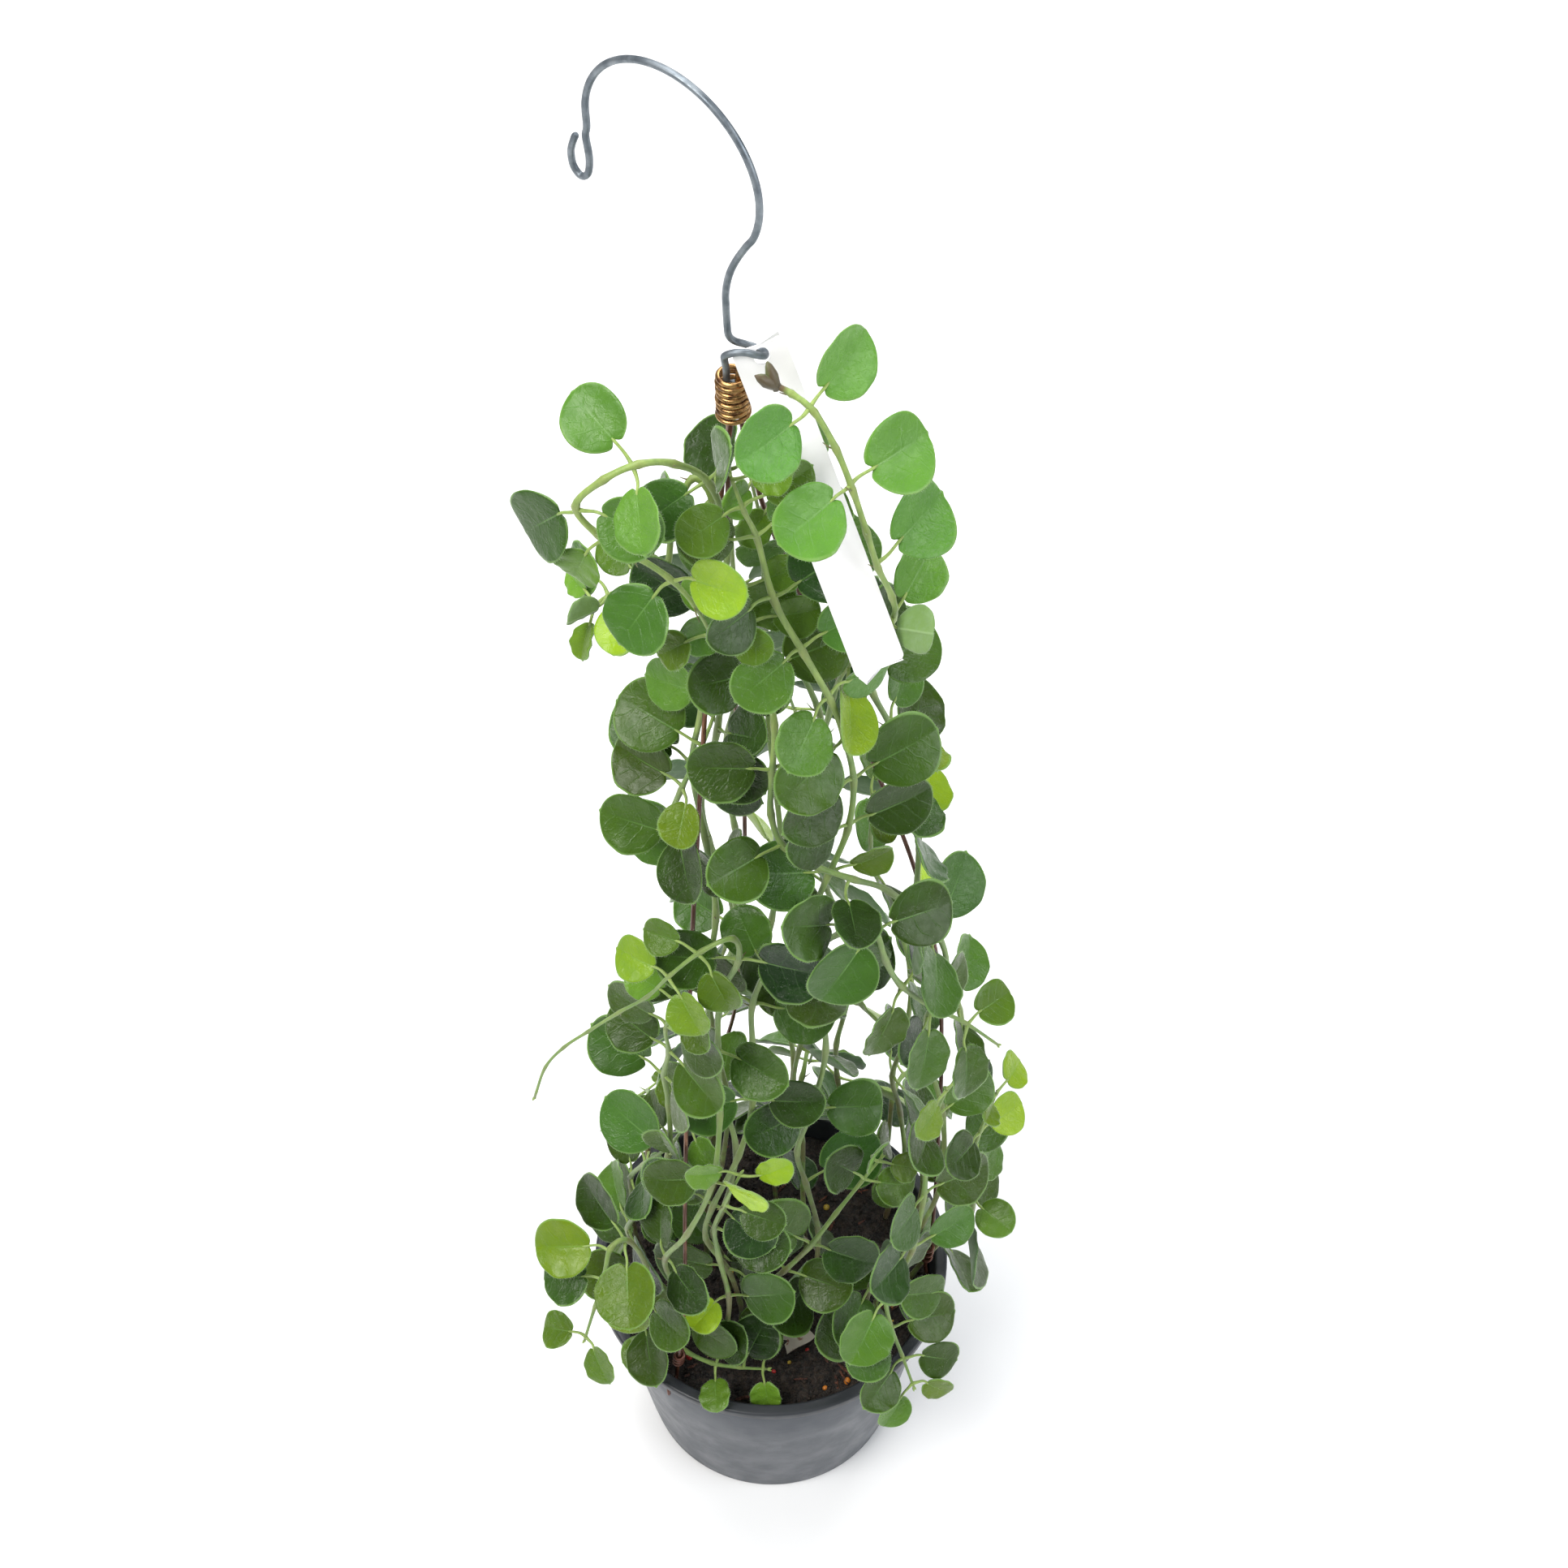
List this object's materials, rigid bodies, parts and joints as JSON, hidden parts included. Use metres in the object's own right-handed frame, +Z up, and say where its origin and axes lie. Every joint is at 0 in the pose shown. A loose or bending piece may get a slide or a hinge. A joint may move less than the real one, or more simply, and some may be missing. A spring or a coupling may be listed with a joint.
{
  "type": "potted hoya",
  "caption": "Round-leaved hoya vines climbing a wire hanger in a black nursery pot of bark mix, with a wound wire neck, a hook and a blank strip label.",
  "frame": {"origin": "middle of the pot's flat underside", "axes": "+Z up through the pot, the neck coil and the hook; the side that is mostly seen faces -Y and the hook's free end points to -X"},
  "size_m": [0.155, 0.1421, 0.5934],
  "materials": {
    "pot_plastic": "satin",
    "bark_mix": "matte",
    "hanger_wire": "satin",
    "neck_wire": "satin",
    "hook_wire": "satin",
    "label_plastic": "satin",
    "foliage": "satin"
  },
  "bodies": {
    "root": {"pot": "pot_plastic", "soil": "bark_mix", "hanger_wire_left": "hanger_wire", "hanger_wire_right": "hanger_wire", "hanger_wire_back": "hanger_wire", "neck_coil": "neck_wire", "hook": "hook_wire", "label": "label_plastic", "vine_arc": "foliage", "vine_loop": "foliage", "vine_inner_left": "foliage", "vine_front": "foliage", "vine_cross": "foliage", "vine_reach": "foliage", "vine_right_up": "foliage", "vine_left_mid": "foliage", "vine_shoot": "foliage", "vine_left_hang": "foliage", "vine_left_rim": "foliage", "vine_left_back": "foliage", "vine_front_run": "foliage", "vine_front_mid": "foliage", "vine_right_front": "foliage", "vine_right_climb": "foliage", "vine_right_out": "foliage", "vine_centre_low": "foliage", "vine_back_left": "foliage", "vine_back_right": "foliage", "vine_back_mid": "foliage", "vine_back_low": "foliage", "vine_back_out": "foliage", "vine_left_out": "foliage", "vine_right_back": "foliage"}
  },
  "joints": []
}
